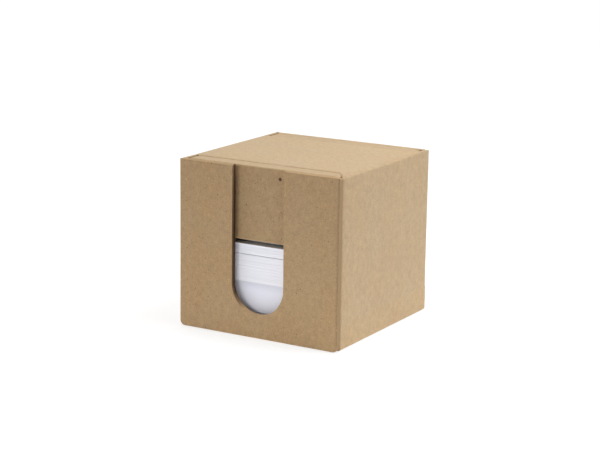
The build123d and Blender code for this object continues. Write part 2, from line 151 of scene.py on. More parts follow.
area_light("softbox_top", (0.32, 0.10, 0.52), (0.0, 0.0, 0.04), (0.40, 0.50), 1.62)
area_light("softbox_right", (0.72, 0.36, 0.30), (0.0, 0.0, 0.04), (0.50, 0.50), 0.12)
area_light("softbox_front", (-0.20, -0.90, 0.06), (0.0, 0.0, 0.04), (0.30, 0.10), 1.75)
area_light("softbox_lid", (0.09, 0.02, 0.28), (0.02, 0.0, 0.08), (0.12, 0.14), 0.215)

# ---------------------------------------------------------------------------
# Node helpers
# ---------------------------------------------------------------------------


class Tree:
    def __init__(self, name):
        self.mat = bpy.data.materials.new(name)
        self.mat.use_nodes = True
        self.nt = self.mat.node_tree
        self.nt.nodes.clear()

    def new(self, kind, **props):
        n = self.nt.nodes.new(kind)
        for k, v in props.items():
            setattr(n, k, v)
        return n

    def put(self, value, socket):
        if isinstance(value, bpy.types.NodeSocket):
            self.nt.links.new(value, socket)
        elif isinstance(value, (tuple, list)) and len(value) == 3 and socket.type == "RGBA":
            socket.default_value = (*value, 1)
        else:
            socket.default_value = value

    def math(self, op, a, b=None, c=None, clamp=False):
        n = self.new("ShaderNodeMath", operation=op, use_clamp=clamp)
        for v, s in zip((a, b, c), n.inputs):
            if v is not None:
                self.put(v, s)
        return n.outputs[0]

    def vmath(self, op, a, b=None):
        n = self.new("ShaderNodeVectorMath", operation=op)
        self.put(a, n.inputs[0])
        if b is not None:
            self.put(b, n.inputs[1])
        return n.outputs[0]

    def noise(self, vec, scale, detail=2.0, rough=0.5, distort=0.0, colour=False):
        n = self.new("ShaderNodeTexNoise", noise_dimensions="3D")
        self.put(vec, n.inputs["Vector"])
        n.inputs["Scale"].default_value = scale
        n.inputs["Detail"].default_value = detail
        n.inputs["Roughness"].default_value = rough
        n.inputs["Distortion"].default_value = distort
        return n.outputs["Color" if colour else "Fac"]

    def ramp(self, value, a, b, lo=0.0, hi=1.0):
        n = self.new("ShaderNodeMapRange", interpolation_type="SMOOTHSTEP")
        self.put(value, n.inputs["Value"])
        n.inputs["From Min"].default_value = a
        n.inputs["From Max"].default_value = b
        n.inputs["To Min"].default_value = lo
        n.inputs["To Max"].default_value = hi
        return n.outputs["Result"]

    def mix(self, fac, a, b, mode="MIX"):
        n = self.new("ShaderNodeMix", data_type="RGBA", blend_type=mode)
        self.put(fac, n.inputs[0])
        self.put(a, n.inputs[6])
        self.put(b, n.inputs[7])
        return n.outputs[2]

    def specks(self, vec, scale, keep, radius, seed):
        """1 inside small round spots, one at most in each cell, and only in a share keep of the cells."""
        moved = self.vmath("ADD", vec, (seed, seed * 1.7, seed * 0.6))
        n = self.new("ShaderNodeTexVoronoi", feature="F1", voronoi_dimensions="3D")
        self.put(moved, n.inputs["Vector"])
        n.inputs["Scale"].default_value = scale
        n.inputs["Randomness"].default_value = 1.0
        split = self.new("ShaderNodeSeparateColor")
        self.put(n.outputs["Color"], split.inputs[0])
        size = self.ramp(split.outputs[0], 1 - keep, 1.0, 0.0, radius * scale)
        inside = self.math("SUBTRACT", size, n.outputs["Distance"])
        return self.ramp(inside, 0.0, 0.12 * radius * scale + 0.02, 0.0, 1.0)

    def threads(self, vec, scale, width, keep, seed, squeeze=(1, 1, 1)):
        """1 on short curved lines like single paper fibres."""
        moved = self.vmath("ADD", vec, (seed, -seed * 1.3, seed * 0.4))
        moved = self.vmath("MULTIPLY", moved, squeeze)
        field = self.noise(moved, scale, 1.0, 0.5, 0.6)
        away = self.math("ABSOLUTE", self.math("SUBTRACT", field, 0.5))
        line = self.ramp(away, 0.0, width, 1.0, 0.0)
        where = self.noise(self.vmath("ADD", moved, (9.1, 3.3, 5.7)), scale * 1.9, 1.0)
        return self.math("MULTIPLY", line, self.ramp(where, 1 - keep, 1 - keep + 0.08))


def kraft(name, base, source="attribute", grain=1.0, cut=False, rough=0.62, sheen=0.26, marks=(), corner=False, ends=None, notch=None):
    """Uncoated recycled kraft: mottled, with fibres and dark and light specks. cut is the look of a cut edge."""
    t = Tree(name)
    if source == "attribute":
        at = t.new("ShaderNodeAttribute", attribute_type="GEOMETRY", attribute_name="rest")
        p = at.outputs["Vector"]
    else:
        p = t.vmath("MULTIPLY", t.new("ShaderNodeTexCoord").outputs["Object"], (1000, 1000, 1000))
    where = p
    p = t.vmath("MULTIPLY", p, (1.0, 1.0, 0.80))
    big = t.noise(p, 0.028, 2.0, 0.5)
    med = t.noise(p, 0.42, 3.0, 0.62)
    fine = t.noise(p, 2.1, 2.0, 0.6)
    value = t.math("MULTIPLY_ADD", t.math("SUBTRACT", big, 0.5), 0.10, 1.0)
    value = t.math("MULTIPLY_ADD", t.math("SUBTRACT", med, 0.5), 0.50 * grain, value)
    value = t.math("MULTIPLY_ADD", t.math("SUBTRACT", fine, 0.5), 0.74 * grain, value)
    light = t.threads(p, 0.55, 0.020, 0.50, 11.0)
    dark = t.threads(p, 0.48, 0.016, 0.42, 37.0)
    value = t.math("MULTIPLY_ADD", light, 0.16 * grain, value)
    value = t.math("MULTIPLY_ADD", dark, -0.18 * grain, value)
    if cut:
        ply = t.new("ShaderNodeAttribute", attribute_type="GEOMETRY", attribute_name="ply")
        layers = t.new("ShaderNodeTexNoise", noise_dimensions="1D")
        t.put(t.math("MULTIPLY_ADD", ply.outputs["Fac"], 7.0, t.math("MULTIPLY", med, 0.8)), layers.inputs["W"])
        layers.inputs["Scale"].default_value = 1.0
        layers.inputs["Detail"].default_value = 1.0
        value = t.math("MULTIPLY_ADD", t.math("SUBTRACT", layers.outputs["Fac"], 0.5), 0.5, value)
    # warm and cool drift
    tint = t.noise(p, 0.06, 2.0)
    colour = t.mix(t.ramp(tint, 0.3, 0.7), tuple(c * k for c, k in zip(base, (1.01, 0.985, 0.96))),
                   tuple(c * k for c, k in zip(base, (0.99, 1.01, 1.03))))
    spread = t.new("ShaderNodeCombineXYZ")
    for s in spread.inputs:
        t.put(value, s)
    colour = t.mix(1.0, colour, spread.outputs[0], "MULTIPLY")
    spots = t.math("MAXIMUM", t.specks(p, 0.30, 0.40, 0.34, 3.0), t.specks(p, 0.7, 0.40, 0.27, 17.0))
    spots = t.math("MAXIMUM", spots, t.math("MULTIPLY", t.specks(p, 1.3, 0.55, 0.20, 29.0), 0.6))
    colour = t.mix(t.math("MULTIPLY", spots, 0.85 * grain), colour, tuple(c * 0.36 for c in base))
    for centre, size in marks:
        away = t.new("ShaderNodeVectorMath", operation="DISTANCE")
        t.put(where, away.inputs[0])
        away.inputs[1].default_value = centre
        colour = t.mix(t.ramp(away.outputs["Value"], size * 0.55, size, 0.95, 0.0), colour, tuple(c * k for c, k in zip(base, (0.16, 0.10, 0.07))))
    if notch is not None:
        # painted shade on the notch's left cut edge, where the slot behind the wall lies in shade, deepest on the inner
        # ply; painted light on the round end and the right side of the notch, whose cut edge would otherwise lie in
        # shade; the top edge has the face's colour
        part = t.new("ShaderNodeSeparateXYZ")
        t.put(where, part.inputs[0])
        off = t.math("MULTIPLY_ADD", part.outputs["X"], -1 / notch, (13 + W / 2) / notch)
        in_notch = t.ramp(t.math("ABSOLUTE", off), 1.01, 1.04, 1.0, 0.0)
        colour = t.mix(t.math("MULTIPLY", t.ramp(off, 0.45, 0.88, 1.0, 0.0), in_notch), colour,
                       tuple(c * 1.9 for c in KRAFT))
        slot_shade = t.math("MULTIPLY", t.ramp(off, 0.84, 0.99, 0.0, 0.95), t.ramp(part.outputs["Y"], 7.4, 9.0, 0.30, 1.0))
        colour = t.mix(t.math("MULTIPLY", slot_shade, in_notch), colour,
                       tuple(c * k for c, k in zip(base, (0.17, 0.11, 0.07))))
        slot = t.math("MULTIPLY", t.ramp(off, 0.90, 0.99), in_notch)
        upper = t.math("MULTIPLY", t.ramp(part.outputs["Z"], 3 + H - 0.9, 3 + H - 0.5), t.math("SUBTRACT", 1.0, slot))
        colour = t.mix(upper, colour, tuple(c * 1.0 for c in KRAFT))
    if cut and ends is not None:
        # the outer ends of this board
        part = t.new("ShaderNodeSeparateXYZ")
        t.put(where, part.inputs[0])
        off = t.math("ABSOLUTE", t.math("SUBTRACT", part.outputs["X"], 13 + W / 2))
        low = t.ramp(part.outputs["Z"], 3 + H - 0.9, 3 + H - 0.5, 1.0, 0.0)
        colour = t.mix(t.math("MULTIPLY", t.ramp(off, W / 2 - 1.6, W / 2 - 1.0), low), colour, ends)
    if corner:
        # painted shade along the board's right edge, standing in for the shaded gap at its joint with the right side,
        # and a faint painted crease shadow near the left one
        part = t.new("ShaderNodeSeparateXYZ")
        t.put(where, part.inputs[0])
        x = t.math("MULTIPLY_ADD", t.math("SUBTRACT", med, 0.5), 0.5, part.outputs["X"])
        colour = t.mix(t.ramp(x, 13 + W - 1.6, 13 + W - 0.2, 0.0, 0.46), colour, tuple(c * 0.45 for c in base))
        crease = t.ramp(t.math("ABSOLUTE", t.math("SUBTRACT", x, 13 + 11.2)), 0.15, 0.45, 0.16, 0.0)
        crease = t.math("MULTIPLY", crease, t.ramp(part.outputs["Z"], 3 + 62, 3 + 66))
        colour = t.mix(crease, colour, tuple(c * 0.5 for c in base))
    flecks = t.math("MAXIMUM", t.specks(p, 0.45, 0.35, 0.34, 51.0), t.specks(p, 0.95, 0.35, 0.24, 63.0))
    colour = t.mix(t.math("MULTIPLY", flecks, 0.50 * grain), colour, tuple(min(1, c * 1.35 + 0.04) for c in base))
    bsdf = t.new("ShaderNodeBsdfPrincipled")
    bsdf.inputs["Specular IOR Level"].default_value = 0.22
    bsdf.inputs["Sheen Weight"].default_value = sheen
    bsdf.inputs["Sheen Roughness"].default_value = 0.5
    bsdf.inputs["Sheen Tint"].default_value = (1.0, 0.97, 0.74, 1)
    t.put(colour, bsdf.inputs["Base Color"])
    r = t.math("MULTIPLY_ADD", fine, 0.16, rough - 0.08)
    t.put(t.math("MULTIPLY_ADD", spots, 0.08, r), bsdf.inputs["Roughness"])
    height = t.math("ADD", t.math("MULTIPLY", fine, 0.6), t.math("MULTIPLY", med, 0.5))
    height = t.math("ADD", height, t.math("MULTIPLY", light, 0.4))
    height = t.math("SUBTRACT", height, t.math("MULTIPLY", dark, 0.3))
    bump = t.new("ShaderNodeBump")
    bump.inputs["Strength"].default_value = 0.35 if not cut else 0.6
    bump.inputs["Distance"].default_value = 0.00008 if not cut else 0.00014
    t.put(height, bump.inputs["Height"])
    t.put(bump.outputs[0], bsdf.inputs["Normal"])
    out = t.new("ShaderNodeOutputMaterial")
    t.nt.links.new(bsdf.outputs[0], out.inputs[0])
    return t.mat


def paper(name, base, edge=False, lines_depth=0.20, shade_below=None):
    """White note paper; edge is the look of the cut stack, with a line for each few sheets."""
    t = Tree(name)
    at = t.new("ShaderNodeAttribute", attribute_type="GEOMETRY", attribute_name="rest")
    p = at.outputs["Vector"]
    fine = t.noise(p, 2.4, 3.0, 0.6)
    big = t.noise(p, 0.05, 2.0)
    value = t.math("MULTIPLY_ADD", t.math("SUBTRACT", fine, 0.5), 0.03, 1.0)
    value = t.math("MULTIPLY_ADD", t.math("SUBTRACT", big, 0.5), 0.04, value)
    if edge:
        flat = t.vmath("MULTIPLY", p, (0.012, 0.012, 1.0))
        lines = t.noise(flat, 4.2, 2.0, 0.65)
        value = t.math("MULTIPLY_ADD", t.math("SUBTRACT", lines, 0.5), lines_depth, value)
        value = t.math("MULTIPLY_ADD", t.ramp(lines, 0.62, 0.70), -0.5 * lines_depth, value)
    if shade_below is not None:
        # painted shadow under the edge of the bundle above, darker towards the top
        part = t.new("ShaderNodeSeparateXYZ")
        t.put(p, part.inputs[0])
        value = t.math("MULTIPLY", value, t.ramp(part.outputs["Z"], 3 + shade_below - 4.5, 3 + shade_below, 1.0, 0.82))
    spread = t.new("ShaderNodeCombineXYZ")
    for s in spread.inputs:
        t.put(value, s)
    colour = t.mix(1.0, base, spread.outputs[0], "MULTIPLY")
    bsdf = t.new("ShaderNodeBsdfPrincipled")
    t.put(colour, bsdf.inputs["Base Color"])
    t.put(t.math("MULTIPLY_ADD", fine, 0.2, 0.62), bsdf.inputs["Roughness"])
    bump = t.new("ShaderNodeBump")
    bump.inputs["Strength"].default_value = 0.2
    bump.inputs["Distance"].default_value = 0.00004
    t.put(fine, bump.inputs["Height"])
    t.put(bump.outputs[0], bsdf.inputs["Normal"])
    out = t.new("ShaderNodeOutputMaterial")
    t.nt.links.new(bsdf.outputs[0], out.inputs[0])
    return t.mat


def flag(name, base, split_x):
    """Index flag: full tint towards one end, and paler towards the other as painted light on the lifted free end, which
    catches more light.
    """
    t = Tree(name)
    at = t.new("ShaderNodeAttribute", attribute_type="GEOMETRY", attribute_name="rest")
    p = at.outputs["Vector"]
    part = t.new("ShaderNodeSeparateXYZ")
    t.put(p, part.inputs[0])
    fine = t.noise(p, 3.0, 2.0)
    edge = t.math("MULTIPLY_ADD", t.math("SUBTRACT", fine, 0.5), 0.25, part.outputs["X"])
    lifted_end = t.ramp(edge, split_x - 0.15, split_x + 0.15, 1.0, 0.0)
    lit_tint = tuple(c + (1 - c) * 0.38 for c in base)
    colour = t.mix(lifted_end, base, lit_tint)
    value = t.math("MULTIPLY_ADD", t.math("SUBTRACT", fine, 0.5), 0.05, 1.0)
    stack = t.noise(t.vmath("MULTIPLY", p, (0.01, 0.01, 1.0)), 5.0, 1.0)
    value = t.math("MULTIPLY_ADD", t.math("SUBTRACT", stack, 0.5), 0.12, value)
    spread = t.new("ShaderNodeCombineXYZ")
    for s in spread.inputs:
        t.put(value, s)
    colour = t.mix(1.0, colour, spread.outputs[0], "MULTIPLY")
    bsdf = t.new("ShaderNodeBsdfPrincipled")
    t.put(colour, bsdf.inputs["Base Color"])
    t.put(t.math("MULTIPLY_ADD", lifted_end, -0.12, 0.48), bsdf.inputs["Roughness"])
    out = t.new("ShaderNodeOutputMaterial")
    t.nt.links.new(bsdf.outputs[0], out.inputs[0])
    return t.mat


KRAFT = (0.373, 0.250, 0.131)
INNER = (0.365, 0.245, 0.132)
CUT = (0.270, 0.176, 0.096)

MARK = (64.8, 11.2, 78.2)
m_face = kraft("kraft_face", KRAFT)
# kraft_side_face and kraft_front_face are tinted copies of kraft_face, painted light and shade: bluer on the right
# side, darker and warmer on the front, for how the light falls on each side
m_side = kraft("kraft_side_face", tuple(c * k for c, k in zip(KRAFT, (0.97, 1.0, 1.06))))
m_inner = kraft("kraft_inner_face", INNER, grain=0.8)
m_front = kraft("kraft_front_face", tuple(c * k for c, k in zip(KRAFT, (0.97, 0.955, 0.93))), corner=True)
m_board = kraft("kraft_board_face", tuple(c * k for c, k in zip(KRAFT, (0.95, 0.94, 0.92))), marks=[(MARK, 1.05)])
# the front wall's cut edges are painted a little darker than the other cut edges, as shade in the notch, and carry the
# notch's painted shade and painted light
m_front_cut = kraft("kraft_front_cut_edge", tuple(c * 0.85 for c in CUT), cut=True, rough=0.9, sheen=0.0,
                    ends=tuple(c * 0.76 for c in KRAFT), notch=13.9)
m_edge = kraft("kraft_sheet_edge", tuple(c * 0.96 for c in KRAFT), grain=0.8)
m_cut = kraft("kraft_cut_edge", CUT, cut=True, rough=0.9, sheen=0.0)
m_arris = kraft("kraft_arris", tuple(c * 1.02 for c in KRAFT), grain=0.7, rough=0.7)
m_cad = kraft("kraft_inside", INNER, source="object", grain=0.8)
m_sheet_face = paper("note_paper", (0.88, 0.89, 0.93))
m_sheet_edge = paper("note_paper_edge", (0.85, 0.86, 0.92), edge=True, lines_depth=0.16)
# the lower bundle's edge is painted a little darker and bluer than the upper bundles, as shade under them, and has the
# painted shadow band under their edge
m_sheet_low = paper("note_paper_edge_lower", (0.82, 0.84, 0.94), edge=True, lines_depth=0.06, shade_below=25.0)

BOARD_MATS = [m_face, m_inner, m_cut, m_arris]
FRONT_MATS = [m_front, m_inner, m_front_cut, m_arris]
SHEET_MATS = [m_face, m_inner, m_edge, m_arris]
SIDE_MATS = [m_side, m_inner, m_edge, m_arris]
PEN_MATS = [m_board, m_inner, m_cut, m_arris]

# ---------------------------------------------------------------------------
# Mesh helpers
# ---------------------------------------------------------------------------
CENTRE = np.array([W / 2, D / 2, 0.0])


def settle(q):
    """A very small unevenness, the same for every piece, so that joints stay closed. It only moves points inwards from the outline."""
    f = Vector((q[0] * 0.021, q[1] * 0.021, q[2] * 0.021))
    g = Vector((q[0] * 0.07 + 9, q[1] * 0.07, q[2] * 0.07))
    v = Vector(noise.noise_vector(f)) * 0.07 + Vector(noise.noise_vector(g)) * 0.02
    c = np.array(q, float)
    pull = np.array([(c[0] - W / 2) / (W / 2), (c[1] - D / 2) / (D / 2), (c[2] / H)])
    c[:2] -= pull[:2] * 0.09
    c[2] -= pull[2] * 0.035
    c[0] += v[0]
    c[1] += v[1]
    c[2] += v[2] * pull[2] * 0.35
    return c


def make(name, bm, mats, ply=None, even=True, smooth=True, weighted=True):
    bmesh.ops.recalc_face_normals(bm, faces=bm.faces[:])
    me = bpy.data.meshes.new(name)
    bm.to_mesh(me)
    bm.free()
    n = len(me.vertices)
    co = np.zeros(n * 3, np.float32)
    me.vertices.foreach_get("co", co)
    co = co.reshape(-1, 3).astype(float)
    rest = me.attributes.new("rest", "FLOAT_VECTOR", "POINT")
    rest.data.foreach_set("vector", (co + np.array([13.0, 7.0, 3.0])).astype(np.float32).ravel())
    if ply is not None:
        depth = me.attributes.new("ply", "FLOAT", "POINT")
        depth.data.foreach_set("value", np.array([ply(c) for c in co], np.float32))
    if even:
        co = np.array([settle(c) for c in co])
    co = (co - CENTRE) / 1000
    me.vertices.foreach_set("co", co.astype(np.float32).ravel())
    for m in mats:
        me.materials.append(m)
    if smooth:
        me.polygons.foreach_set("use_smooth", [True] * len(me.polygons))
        me.set_sharp_from_angle(angle=math.radians(50))
    me.update()
    o = bpy.data.objects.new(name, me)
    scene.collection.objects.link(o)
    if weighted:
        mod = o.modifiers.new("even_normals", "WEIGHTED_NORMAL")
        mod.keep_sharp = True
    return o


def slab(name, front, back, mats=None, present=None, arris=0.16, steps=3, plain=None, ply=None,
         body="memo_tray", stands_for=(), slot="kraft_board", even=True, weighted=True, extra=None):
    """A sheet from two grids of points, front and back, joined round every open side. plain says where an arris stays sharp, because the next piece carries on from there."""
    front, back = np.asarray(front, float), np.asarray(back, float)
    n, m = front.shape[:2]
    if present is None:
        present = np.ones((n - 1, m - 1), bool)
    bm = bmesh.new()
    used = np.zeros((n, m), bool)
    for i in range(n - 1):
        for j in range(m - 1):
            if present[i, j]:
                used[i:i + 2, j:j + 2] = True
    vf, vb = {}, {}
    for i in range(n):
        for j in range(m):
            if used[i, j]:
                vf[i, j] = bm.verts.new(front[i, j])
                vb[i, j] = bm.verts.new(back[i, j])
    side_faces, front_faces, back_faces = [], [], []
    rim = {}
    for i in range(n - 1):
        for j in range(m - 1):
            if not present[i, j]:
                continue
            loop = [(i, j), (i + 1, j), (i + 1, j + 1), (i, j + 1)]
            f = bm.faces.new([vf[k] for k in loop])
            f.material_index = 0
            front_faces.append(f)
            g = bm.faces.new([vb[k] for k in reversed(loop)])
            g.material_index = 1
            back_faces.append(g)
            for a, b in zip(loop, loop[1:] + loop[:1]):
                key = frozenset((a, b))
                if key in rim:
                    del rim[key]
                else:
                    rim[key] = (a, b)
    for a, b in rim.values():
        f = bm.faces.new([vf[b], vf[a], vb[a], vb[b]])
        f.material_index = 2
        side_faces.append(f)
    bmesh.ops.recalc_face_normals(bm, faces=bm.faces[:])
    side = set(side_faces)
    sharp = []
    for e in bm.edges:
        if len(e.link_faces) != 2:
            continue
        a, b = e.link_faces
        if (a in side) or (b in side):
            if a.normal.angle(b.normal, 0) > math.radians(38):
                mid = (e.verts[0].co + e.verts[1].co) / 2
                if plain is None or not plain(mid):
                    sharp.append(e)
    if sharp and arris > 0:
        done = bmesh.ops.bevel(bm, geom=sharp, offset=arris, offset_type="OFFSET", segments=steps, profile=0.5,
                               affect="EDGES", clamp_overlap=True)
        for f in done["faces"]:
            f.material_index = 3
    o = make(name, bm, mats or BOARD_MATS, ply=ply, even=even, weighted=weighted)
    if body:
        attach(o, body)
    if stands_for:
        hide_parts(*stands_for)
    return o


def steps_between(a, b, size):
    n = max(1, int(round(abs(b - a) / size)))
    return list(np.linspace(a, b, n + 1))


def joined(*runs):
    out = []
    for r in runs:
        for v in r:
            if not out or abs(out[-1] - v) > 1e-6:
                out.append(v)
    return out


# ---------------------------------------------------------------------------
# Front and back walls
# ---------------------------------------------------------------------------
WALL_R, R_FOLD = 2.4, 1.2
SKIN, BOARD = 0.3, 1.2
NOTCH_R, NOTCH_LOW = 13.9, 10.9
NOTCH_Z = NOTCH_LOW + NOTCH_R
BACK_TOP = H - 0.3
CREASE_Z = H - 1.3
CREASE_X = W - 5.85


def back_top(x):
    """The back wall's top corner is cut away under the hinge sheet."""
    if x <= 82.8:
        return BACK_TOP
    if x <= 83.1:
        return BACK_TOP - 0.35 * (x - 82.8) / 0.3
    return BACK_TOP - 0.35 - (x - 83.1) * (BACK_TOP - 0.35 - CREASE_Z + 0.1) / (W - SKIN - 83.1)


def top_wave(x, phase):
    return 0.045 + 0.05 * noise.noise(Vector((x * 0.09, phase, 0))) + 0.035 * noise.noise(Vector((x * 0.3, phase, 5)))


def wall(name, y0, y1, top, phase, x_lo=0.0, x_hi=W, z_lo=0.0, radius=WALL_R, notch=False, flip=False, crush=None, **kw):
    cx = W / 2
    left = [x_lo + radius * (1 - math.cos(a)) for a in np.linspace(0, math.pi / 2, 7)]
    right = [x_hi - v + x_lo for v in reversed(left)]
    if notch:
        curve = [cx - NOTCH_R * math.cos(a) for a in np.linspace(0, math.pi, 25)]
        xs = joined(left, steps_between(left[-1], cx - NOTCH_R, 2.2), curve,
                    steps_between(cx + NOTCH_R, right[0], 2.2), right)
        low = steps_between(2.6, NOTCH_Z, 2.2)
        high = joined(steps_between(NOTCH_Z, top(0) - 0.85, 2.2), [top(0) - 0.55, top(0) - 0.28, top(0)])[1:]
    else:
        xs = joined(left, steps_between(left[-1], 82.8, 2.2), [83.1, 83.6], right)
        low, high = steps_between(2.6, top(0), 2.2), []
    share = [v / low[-1] for v in [0.0, 0.35] + low]
    rows = len(share) + len(high)
    front = np.zeros((len(xs), rows, 3))
    for i, x in enumerate(xs):
        inside = notch and abs(x - cx) < NOTCH_R + 1e-6
        d = min(x - x_lo, x_hi - x)
        z_low = z_lo if d >= radius else z_lo + radius - math.sqrt(max(0.0, radius**2 - (radius - d) ** 2))
        z_mid = NOTCH_Z - math.sqrt(max(0.0, NOTCH_R**2 - (x - cx) ** 2)) if inside else (NOTCH_Z if notch else top(x))
        for j in range(rows):
            if j < len(share):
                z = z_low + (z_mid - z_low) * share[j]
            else:
                z = high[j - len(share)]
            if not inside or j >= len(share):
                # the cut top edge isn't perfectly straight
                z -= top_wave(x, phase) * max(0.0, (z - (top(x) - 12)) / 12)
            front[i, j] = (x, y0, z)
            if crush and j >= len(share):
                bent = max(0.0, 1 - (top(x) - high[j - len(share)]) / 0.85) * max(0.0, crush(x))
                front[i, j, 1] += 0.66 * bent ** 2.0
                front[i, j, 2] -= 0.12 * bent
    back = front.copy()
    back[..., 1] = y1
    present = np.ones((len(xs) - 1, rows - 1), bool)
    if notch:
        for i in range(len(xs) - 1):
            if cx - NOTCH_R - 1e-6 < xs[i] and xs[i + 1] < cx + NOTCH_R + 1e-6:
                present[i, len(share) - 1:] = False
    if flip:
        front, back = back, front
    return slab(name, front, back, present=present, ply=lambda c: (c[1] - y0) / (y1 - y0), **kw)


wall("front_wall_outer_ply", 0.0, 1.39, lambda x: H, 1.0, notch=True, arris=0.20, mats=FRONT_MATS,
     crush=lambda x: max(0.0, min(1.0, (x - 2.6) / 7)) * 0.8 - 0.55 * max(0.0, min(1.0, (x - 12) / 66)) ** 1.3, stands_for=("front_wall_outer",))
wall("front_wall_inner_ply", 1.41, 2.8, lambda x: H, 1.0, notch=True, flip=True, arris=0.12,
     mats=[m_inner, m_face, m_front_cut, m_front_cut], stands_for=("front_wall_inner",))
BACK = dict(x_lo=SKIN + 0.01, x_hi=W - SKIN - 0.01, z_lo=SKIN + 0.01, radius=R_FOLD - SKIN, arris=0.14,
            mats=[m_face, m_inner, m_face, m_arris])
wall("back_wall_inner_ply", D - 2.8, D - 1.41, back_top, 8.0, stands_for=("back_wall_inner",), **BACK)
wall("back_wall_outer_ply", D - 1.39, D, back_top, 8.0, flip=True, stands_for=("back_wall_outer",), **BACK)

# ---------------------------------------------------------------------------
# Folded sheets of the tray: a path in X and Z, swept from front to back
# ---------------------------------------------------------------------------
Y0, Y1 = 2.98, D - 0.02
LEFT_TOP = H - 0.35


def arc(cx, cz, r, a0, a1, n):
    return [(cx + r * math.cos(a), cz + r * math.sin(a)) for a in np.linspace(a0, a1, n)]


def line(a, b, size):
    n = max(1, int(round(math.dist(a, b) / size)))
    return [(a[0] + (b[0] - a[0]) * k / n, a[1] + (b[1] - a[1]) * k / n) for k in range(n + 1)]


def chain(*runs):
    out = []
    for r in runs:
        for p in r:
            if not out or math.dist(out[-1], p) > 1e-6:
                out.append(p)
    return out


def u_path(inset, left_top, right_top, size=3.0):
    """Down the left side, round the folds and up the right side, at a depth of inset below the outer surface."""
    r = max(0.06, R_FOLD - inset)
    lo, x0, x1 = inset, inset, W - inset
    c = inset + r
    tall, wide = max(1, round(left_top / size)), max(1, round(W / size))

    def run(a, b, n):
        return [(a[0] + (b[0] - a[0]) * k / n, a[1] + (b[1] - a[1]) * k / n) for k in range(n + 1)]

    return chain(
        run((x0, left_top), (x0, c), tall),
        arc(c, c, r, math.pi, 1.5 * math.pi, 7),
        run((c, lo), (W - c, lo), wide),
        arc(W - c, c, r, 1.5 * math.pi, 2 * math.pi, 7),
        run((x1, c), (x1, right_top), max(1, round(right_top / size))),
    )


EAR_FRONT, EAR_BACK = 12.0, D - 12.0


def lift(x, y, z):
    """The left wall is a little higher beside the flap than below it."""
    if x > 5 or (EAR_FRONT + 0.05 < y < EAR_BACK - 0.05):
        return z
    return z + 0.29 * max(0.0, min(1.0, (z - LEFT_TOP + 6) / 6))


def sweep(path, ys):
    return [[(x, y, lift(x, y, z)) for y in ys] for x, z in path]


def with_ears(a, b):
    return joined(steps_between(a, EAR_FRONT, 2.6), [EAR_FRONT + 0.2], steps_between(EAR_FRONT + 0.2, EAR_BACK - 0.2, 2.6),
                  [EAR_BACK], steps_between(EAR_BACK, b, 2.6))


ys = with_ears(Y0, Y1)
ys_board = with_ears(2.86, D - 2.86)
RIGHT_JOIN = 12.0
outer = u_path(0.0, LEFT_TOP, RIGHT_JOIN)
inner = u_path(SKIN, LEFT_TOP, RIGHT_JOIN)
slab("outer_wrap", sweep(outer, ys), sweep(inner, ys), mats=SHEET_MATS, arris=0.10,
     plain=lambda p: p.x > W - 2 and p.z > RIGHT_JOIN - 0.01,
     ply=lambda c: 0.5, stands_for=("wrap_left", "wrap_base"), slot="kraft_sheet")

RIGHT_TOP = CREASE_Z - 0.9
outer = u_path(SKIN + 0.01, LEFT_TOP - 0.02, RIGHT_TOP)
inner = u_path(SKIN + BOARD, LEFT_TOP - 0.02, RIGHT_TOP)
slab("tray_board", sweep(outer, ys_board), sweep(inner, ys_board), mats=[m_inner, m_inner, m_face, m_arris], arris=0.14,
     ply=lambda c: min(1.0, max(0.0, (min(c[0], W - c[0]) - SKIN) / BOARD)),
     stands_for=("left_board", "base_board", "right_board"))

# ---------------------------------------------------------------------------
# Hinge sheet: up the right side, over the rounded edge and across the lid
# ---------------------------------------------------------------------------
FLAP_HALF = D / 2 - 12.2
TAPER_X = 78.4
FULL_FRONT, FULL_BACK = D / 2 - Y0, Y1 - D / 2


def y_range(x):
    """Front and back edge of the tapered sheet."""
    out = max(0.0, x - TAPER_X)
    return (D / 2 - min(FULL_FRONT, FLAP_HALF + 8.9 / 6.0 * out), D / 2 + min(FULL_BACK, FLAP_HALF + 12.1 / 6.0 * out))


def within(p):
    return Y0 + 0.4 < p.y < Y1 - 0.4


def fullness(y):
    """The edge is softly rounded in front and gets tighter towards the back."""
    s = min(1.0, max(0.0, (y / D - 0.62) / 0.36))
    return 2.7 + 3.3 * s * s * (3 - 2 * s)


def edge_point(angle, y, depth):
    """A point of the rounded edge: angle 0 is the lower crease and pi/2 the upper one."""
    n = fullness(y)
    a, b = 5.85 - depth, 1.3 - depth
    c, s = max(0.0, math.cos(angle)), max(0.0, math.sin(angle))
    return CREASE_X + a * c ** (2 / n), CREASE_Z + b * s ** (2 / n)


def columns(x, count=36):
    a, b = y_range(x)
    lip = [0.0, 0.22, 0.55]
    return [a + v for v in lip] + [a + 1 + (b - a - 2) * k / count for k in range(count + 1)] + [b - v for v in reversed(lip)]


MID = math.radians(38)


